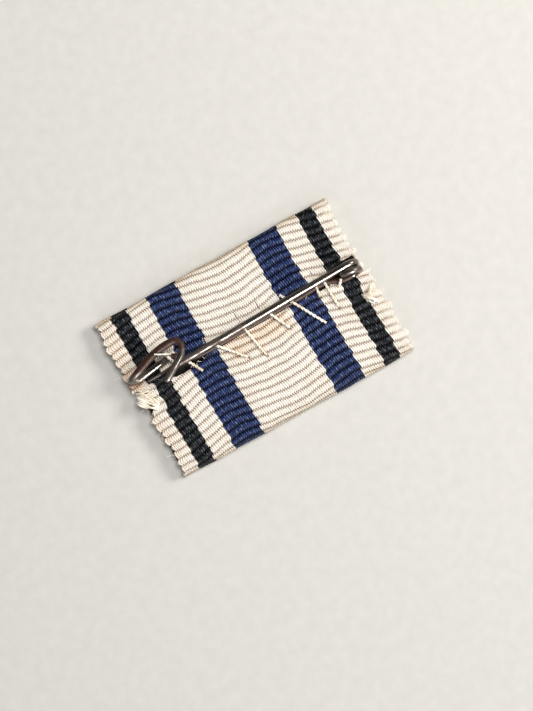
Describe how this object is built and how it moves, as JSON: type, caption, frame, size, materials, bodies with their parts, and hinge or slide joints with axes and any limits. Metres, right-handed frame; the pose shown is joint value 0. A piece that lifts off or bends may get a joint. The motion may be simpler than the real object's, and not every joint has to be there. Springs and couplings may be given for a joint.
{
  "type": "service ribbon bar",
  "caption": "Flat striped ribbon bar for a uniform, sewn round a thin plate, with a sprung wire pin across its back: coil at one end, wire hook at the other.",
  "frame": {"origin": "middle of the bar on the surface that its display face lies on", "axes": "+X along the ribbon's width towards the pin's coil, +Y along the bar's height towards the upper fold, +Z out of the back that carries the pin"},
  "size_m": [0.025, 0.0172, 0.0038],
  "materials": {
    "ribbon_silk": "ribbed weave in ivory, black and dark blue stripes, yellowed at the folds",
    "plate_steel": "dull dark sheet",
    "pin_wire": "drawn wire, polished where it is handled, brown with rust elsewhere",
    "thread": "twisted ivory sewing thread"
  },
  "bodies": {
    "bar": {"ribbon": "ribbon_silk", "core_plate": "plate_steel", "base_wire": "pin_wire", "stitch_1": "thread", "stitch_2": "thread", "stitch_3": "thread", "stitch_4": "thread", "stitch_5": "thread", "thread_end_1": "thread", "thread_end_2": "thread", "thread_end_3": "thread", "binding": "thread", "binding_end": "thread", "knot_left": "thread", "knot_right": "thread"},
    "spring": {"spring_coil": "pin_wire"},
    "needle": {"needle": "pin_wire"}
  },
  "joints": [
    {"name": "needle_side", "type": "hinge", "parent": "bar", "child": "spring", "pos_m": [0.01111, 0.00124, 0.00234], "axis": [0, 0, 1], "range_deg": [0, 6], "stiffness_Nm_per_rad": 0.15},
    {"name": "needle_lift", "type": "hinge", "parent": "spring", "child": "needle", "pos_m": [0.01111, 0.00124, 0.00234], "axis": [0, 1, 0], "range_deg": [0, 60], "deforming": ["spring_coil"]}
  ]
}
